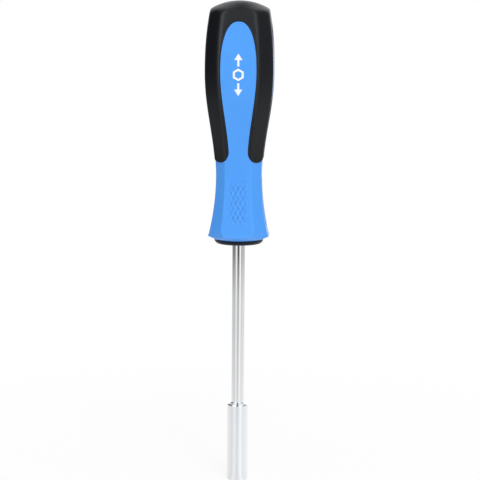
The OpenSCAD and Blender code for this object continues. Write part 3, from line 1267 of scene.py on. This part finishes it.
@dataclass
class Studio:
    """Round white table, white surroundings, soft lamps and the camera."""

    aim_h: float = 116.79 * MM
    aim_side: float = 0.6 * MM
    camera_azimuth: float = 2.7
    camera_elevation: float = 7.5
    camera_distance: float = 762 * MM
    camera_roll: float = 0.42
    focal_px: float = 1600.0
    sensor: float = 36.0
    clip: Range = (0.01, 20.0)
    table_r: float = 1150 * MM
    table_sides: int = 128
    shadow_r: float = 300 * MM
    table_glow: float = 0.82
    ambient: float = 0.5
    lamps: tuple[Panel, ...] = (
        Panel("key_panel", 17, 42, distance=1.3, size=0.8, power=5.0, mirrored=False),
        Panel("sheen_panel", 17, 42, distance=1.3, size=0.8, power=4.8),
        Panel("top_panel", 180, 62, distance=1.1, size=0.7, power=3.0, mirrored=False),
    )
    # What the blade sees round the horizon: degrees from the front, and how bright the studio is there.
    horizon: Stops = (
        (-180, 0.65), (-144, 0.4), (-105, 0.17), (-79, 0.23), (-57, 0.3), (-41, 0.95), (-30, 0.95),
        (-18, 0.36), (-6, 0.03), (6, 0.03), (18, 0.5), (31, 1), (44, 1), (58, 0.3), (79, 0.53),
        (105, 0.51), (144, 0.62), (180, 0.65),
    )
    # What the sleeve sees in the table close by.
    near_table: Stops = (
        (-180, 0.97), (-150, 0.92), (-122, 0.88), (-86, 0.82), (-58, 0.75), (-28, 0.91), (-12, 0.8),
        (0, 0.75), (12, 0.82), (34, 1.02), (56, 0.85), (102, 0.91), (152, 0.96), (180, 0.97),
    )
    # How much of the horizon the table shows, by the share of its radius.
    table_shows: Stops = (
        (0, 0), (0.12, 0.02), (0.17, 0.12), (0.25, 0.25), (0.34, 0.33), (0.457, 0.4), (0.594, 0.72),
        (0.7, 1), (1, 1),
    )
    # What the handle sees of the room.
    room: Stops = (
        (-180, 1.25), (-152, 0.95), (-138, 0.2), (-103, 0.05), (-72, 0.06), (-60, 0.2), (-48, 2.2),
        (-38, 3.4), (-28, 2.8), (-17, 0.5), (17, 0.5), (29, 2.2), (40, 2.4), (55, 0.5), (70, 0.28),
        (112, 0.3), (134, 0.5), (150, 1.6), (180, 1.25),
    )
    # The ceiling over the walls, and a dark slot in it over the camera: how bright they are, and where
    # they begin and are full, as parts of a direction of length one.
    upper_glow: float = 0.95
    upper_rise: Range = (0.73, 0.85)
    slot_glow: float = 0.1
    slot_side: Range = (0.2, 0.06)
    slot_rise: Range = (0.38, 0.62)

    def around(self, tree: Tree, x: Socket, y: Socket, glows: Stops) -> Socket:
        """Adds light and dark walls round the tool.

        Args:
            tree: The tree that gets the nodes.
            x: How far a spot lies to the right.
            y: How far it lies to the back.
            glows: Degrees from the front and brightness there.

        Returns:
            The brightness in that direction.
        """
        back = add_node(tree, "ShaderNodeMath", {0: y, 1: -1.0}, operation="MULTIPLY").outputs[0]
        angle = add_node(tree, "ShaderNodeMath", {0: x, 1: back}, operation="ARCTAN2").outputs[0]
        whole = {"Value": angle, 1: -math.pi, 2: math.pi}
        turn = add_node(tree, "ShaderNodeMapRange", whole).outputs[0]
        stops = [((degrees + 180) / 360, glow) for degrees, glow in glows]
        return add_node(tree, "ShaderNodeValToRGB", {0: turn}, stops).outputs[0]

    def table(self) -> None:
        """Makes the table top, white to the eye and lit like paper for the shadow."""
        mesh = bpy.data.meshes.new("table")
        work = bmesh.new()
        bmesh.ops.create_circle(work, cap_ends=True, segments=self.table_sides, radius=self.table_r)
        work.to_mesh(mesh)
        work.free()
        table = show("table", mesh)
        # Matt white paper that glows where the camera or a mirror sees it, less so near the tool.
        material = bpy.data.materials.new("paper_white_matt")
        tree = blank_tree(material)
        light = add_node(tree, "ShaderNodeLightPath").outputs
        camera, mirror = light["Is Camera Ray"], light["Is Glossy Ray"]
        spot = add_node(tree, "ShaderNodeTexCoord").outputs["Object"]
        x, y, _ = add_node(tree, "ShaderNodeSeparateXYZ", {0: spot}).outputs
        far = add_node(tree, "ShaderNodeVectorMath", {0: spot}, operation="LENGTH").outputs["Value"]
        part = add_node(tree, "ShaderNodeMath", {0: far, 1: self.table_r}, operation="DIVIDE").outputs[0]
        away = add_node(tree, "ShaderNodeValToRGB", {0: part}, self.table_shows).outputs[0]
        close = self.around(tree, x, y, self.near_table)
        wide = self.around(tree, x, y, self.horizon)
        walls = add_node(tree, "ShaderNodeMix", {0: away, 6: close, 7: wide}, data_type="RGBA").outputs[2]
        shown = {0: mirror, 6: linear(WHITE), 7: walls}
        white = add_node(tree, "ShaderNodeMix", shown, data_type="RGBA").outputs[2]
        fade = {"Value": far, 1: 0.0, 2: self.shadow_r, 3: self.table_glow, 4: 1.0}
        clear = add_node(tree, "ShaderNodeMapRange", fade).outputs[0]
        clear = add_node(tree, "ShaderNodeMath", {0: clear, 1: mirror}, operation="MAXIMUM").outputs[0]
        seen = add_node(tree, "ShaderNodeMath", {0: camera, 1: mirror}, operation="MAXIMUM").outputs[0]
        share = add_node(tree, "ShaderNodeMath", {0: seen, 1: clear}, operation="MULTIPLY").outputs[0]
        paper = add_node(tree, "ShaderNodeBsdfDiffuse", {"Color": linear("#F4F4F4")})
        glow = add_node(tree, "ShaderNodeEmission", {"Color": white, "Strength": 1.0})
        mixed = add_node(tree, "ShaderNodeMixShader", {0: share, 1: paper.outputs[0], 2: glow.outputs[0]})
        add_node(tree, "ShaderNodeOutputMaterial", {"Surface": mixed.outputs[0]})
        mesh.materials.append(material)

    def surroundings(self) -> None:
        """Makes the world: white to the eye, soft ambient light, and walls for the reflections."""
        world = bpy.data.worlds.new("studio")
        bpy.context.scene.world = world
        tree = blank_tree(world)
        way = add_node(tree, "ShaderNodeTexCoord").outputs["Generated"]
        x, y, z = add_node(tree, "ShaderNodeSeparateXYZ", {0: way}).outputs
        walls = self.around(tree, x, y, self.room)
        aside = add_node(tree, "ShaderNodeMath", {0: x}, operation="ABSOLUTE").outputs[0]
        spans = ((z, self.upper_rise), (z, self.slot_rise), (aside, self.slot_side))
        rise, high, middle = [
            add_node(tree, "ShaderNodeMapRange", {"Value": value, 1: start, 2: end}).outputs[0]
            for value, (start, end) in spans
        ]
        slot = add_node(tree, "ShaderNodeMath", {0: middle, 1: high}, operation="MULTIPLY").outputs[0]
        light = add_node(tree, "ShaderNodeLightPath").outputs
        camera, mirror = light["Is Camera Ray"], light["Is Glossy Ray"]
        lined = add_node(
            tree, "ShaderNodeMix", {0: rise, 6: walls, 7: grey(self.upper_glow)}, data_type="RGBA"
        ).outputs[2]
        room = add_node(
            tree, "ShaderNodeMix", {0: slot, 6: lined, 7: grey(self.slot_glow)}, data_type="RGBA"
        ).outputs[2]
        lit = add_node(
            tree, "ShaderNodeMix", {0: mirror, 6: grey(self.ambient), 7: room}, data_type="RGBA"
        ).outputs[2]
        shown = add_node(
            tree, "ShaderNodeMix", {0: camera, 6: lit, 7: linear(WHITE)}, data_type="RGBA"
        ).outputs[2]
        sky = add_node(tree, "ShaderNodeBackground", {"Color": shown, "Strength": 1.0})
        add_node(tree, "ShaderNodeOutputWorld", {"Surface": sky.outputs[0]})

    def camera(self) -> None:
        """Sets the camera up at the photograph's viewing angle."""
        a = math.radians(self.camera_azimuth)
        back = way_to(self.camera_azimuth, self.camera_elevation)
        roll = Matrix.Rotation(math.radians(self.camera_roll), 3, back)
        right = roll @ Vector((math.cos(a), math.sin(a), 0.0))
        up = back.cross(right)
        data = bpy.data.cameras.new("camera")
        data.sensor_width = self.sensor
        data.lens = self.focal_px / IMAGE_SIDE * self.sensor
        data.clip_start, data.clip_end = self.clip
        camera = show("camera", data)
        turn = Matrix((right, up, back)).transposed().to_4x4()
        aim = Vector((0.0, 0.0, self.aim_h)) + self.aim_side * right
        camera.matrix_world = Matrix.Translation(aim + self.camera_distance * back) @ turn
        bpy.context.scene.camera = camera

    def build(self) -> None:
        """Sets everything up round the tool."""
        self.table()
        self.surroundings()
        for lamp in self.lamps:
            lamp.build(Vector((0.0, 0.0, self.aim_h)))
        self.camera()
        bpy.context.scene.view_settings.view_transform = "Standard"


def main() -> None:
    """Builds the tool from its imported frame, then the studio."""
    shell_low, shell_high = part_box("handle_shell")
    core_low, core_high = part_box("inner_core")
    blade_low, blade_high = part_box("blade_shaft")
    _, sleeve_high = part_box("bit_sleeve")
    _, grip_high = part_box("soft_grip")
    form = HandleForm(
        base_z=shell_low.z,
        length=grip_high.z - shell_low.z,
        belly_half=shell_high.x,
        collar_r=core_high.x,
    )
    blade_r = 3 * MM
    core = InnerCore(form, blade_r, core_low.z, core_high.z)
    core.build()
    HandleShell(form, core).build()
    SoftGrip(form).build()
    DiamondPads(form).build()
    PrintedMark(form).build()
    Blade(blade_low, blade_high, blade_r).build()
    BitSleeve(sleeve_high.x, sleeve_high.z, blade_r).build()
    SocketFittings(*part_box("magnet"), *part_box("snap_ring")).build()
    Studio().build()


if __name__ == "__main__":
    logging.basicConfig(level=logging.INFO, format="%(name)s: %(message)s")
    main()
